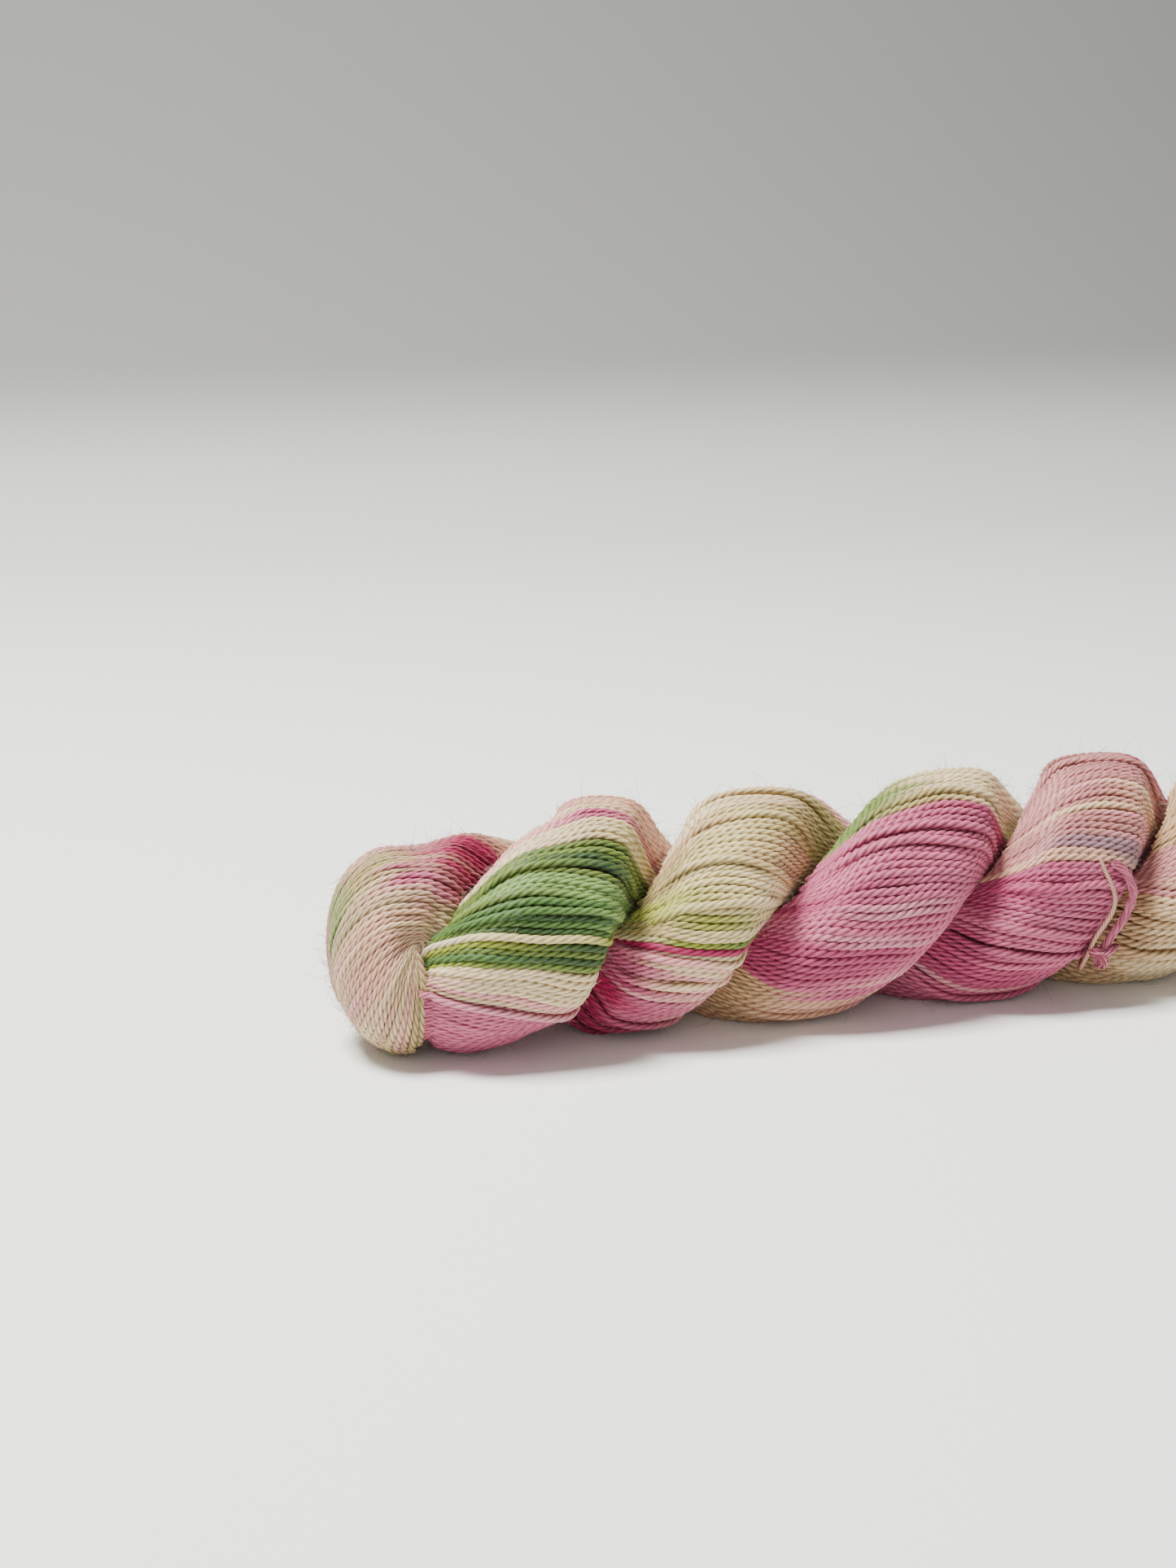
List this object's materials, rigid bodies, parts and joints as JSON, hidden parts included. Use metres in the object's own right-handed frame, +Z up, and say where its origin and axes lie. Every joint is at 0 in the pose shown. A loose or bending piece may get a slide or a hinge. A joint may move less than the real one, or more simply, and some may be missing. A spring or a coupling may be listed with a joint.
{
  "type": "hank of mohair yarn",
  "caption": "Hand-dyed hank of mohair yarn in pink, cream and green, twisted on itself like a rope, with a rounded fold at one end, a tucked loop at the other and a small knotted tie.",
  "frame": {"origin": "on the surface that the hank lies on, under the middle of the hank", "axes": "+X along the hank from the rounded fold to the tucked loop, -Y towards the viewer and the tie, +Z up"},
  "size_m": [0.2654, 0.056, 0.0522],
  "materials": {
    "dyed_yarn": "soft plied yarn with a slight lustre and a halo of fine hair, hand-dyed in cream, pink and green",
    "tie_yarn": "loose fuzzy strand, dyed pink with the hank",
    "tie_thread": "thin plied thread, pale beige"
  },
  "bodies": {
    "root": {"hank": "dyed_yarn", "tie": "tie_yarn", "tie_knot": "tie_yarn", "tie_end": "tie_thread"}
  },
  "joints": []
}
